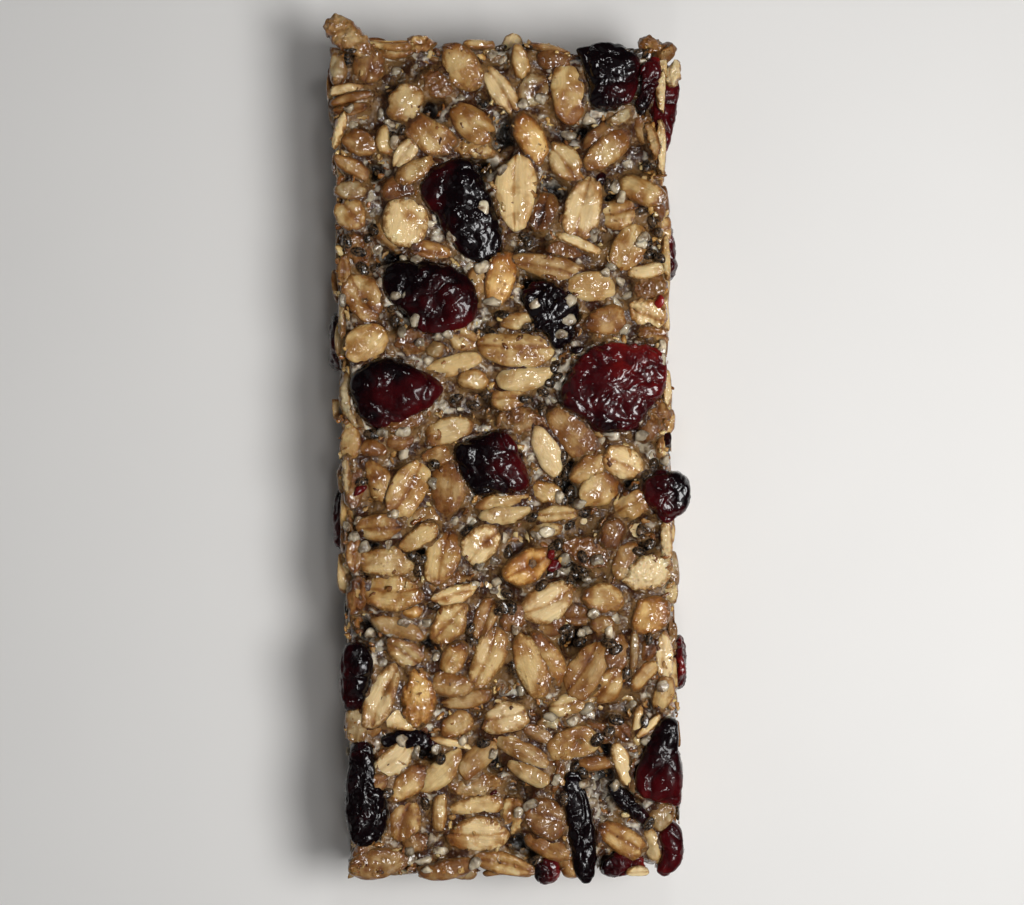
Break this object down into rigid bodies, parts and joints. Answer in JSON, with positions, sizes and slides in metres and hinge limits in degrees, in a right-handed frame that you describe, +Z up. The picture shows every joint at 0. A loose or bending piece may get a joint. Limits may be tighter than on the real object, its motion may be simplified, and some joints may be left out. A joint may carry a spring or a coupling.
{
  "type": "granola bar",
  "caption": "Rectangular pressed granola bar of rolled oats, seeds and pale grains with dried cranberries set in its top, sides and base.",
  "frame": {"origin": "centre of the flat base the bar lies on", "axes": "+Y along the bar's length, +X across it, +Z up through its top"},
  "size_m": [0.0453, 0.1063, 0.0179],
  "materials": {
    "pressed_oats": "rough pressed oat flakes, partly glazed with syrup",
    "dried_cranberry": "glossy wrinkled fruit skin",
    "chia_seed": "smooth mottled seed coat",
    "pale_grain": "milky translucent grain",
    "syrup": "dried glossy syrup with fine crumbs"
  },
  "bodies": {
    "root": {"bar": "pressed_oats", "cranberry_base_far": "dried_cranberry", "cranberry_base_left": "dried_cranberry", "cranberry_base_near": "dried_cranberry", "cranberry_base_right": "dried_cranberry", "cranberry_far_end": "dried_cranberry", "cranberry_far_flap": "dried_cranberry", "cranberry_far_folded": "dried_cranberry", "cranberry_far_right": "dried_cranberry", "cranberry_far_upper": "dried_cranberry", "cranberry_left_dark": "dried_cranberry", "cranberry_left_long": "dried_cranberry", "cranberry_left_low": "dried_cranberry", "cranberry_left_round": "dried_cranberry", "cranberry_left_under": "dried_cranberry", "cranberry_left_upright": "dried_cranberry", "cranberry_middle": "dried_cranberry", "cranberry_near_end": "dried_cranberry", "cranberry_near_foot": "dried_cranberry", "cranberry_near_left_leg": "dried_cranberry", "cranberry_near_middle": "dried_cranberry", "cranberry_near_right": "dried_cranberry", "cranberry_near_right_leg": "dried_cranberry", "cranberry_right_hidden": "dried_cranberry", "cranberry_right_large": "dried_cranberry", "cranberry_right_lower": "dried_cranberry", "cranberry_right_proud": "dried_cranberry", "cranberry_right_thin": "dried_cranberry", "cranberry_upper_left": "dried_cranberry", "cranberry_upper_middle": "dried_cranberry"}
  },
  "joints": []
}
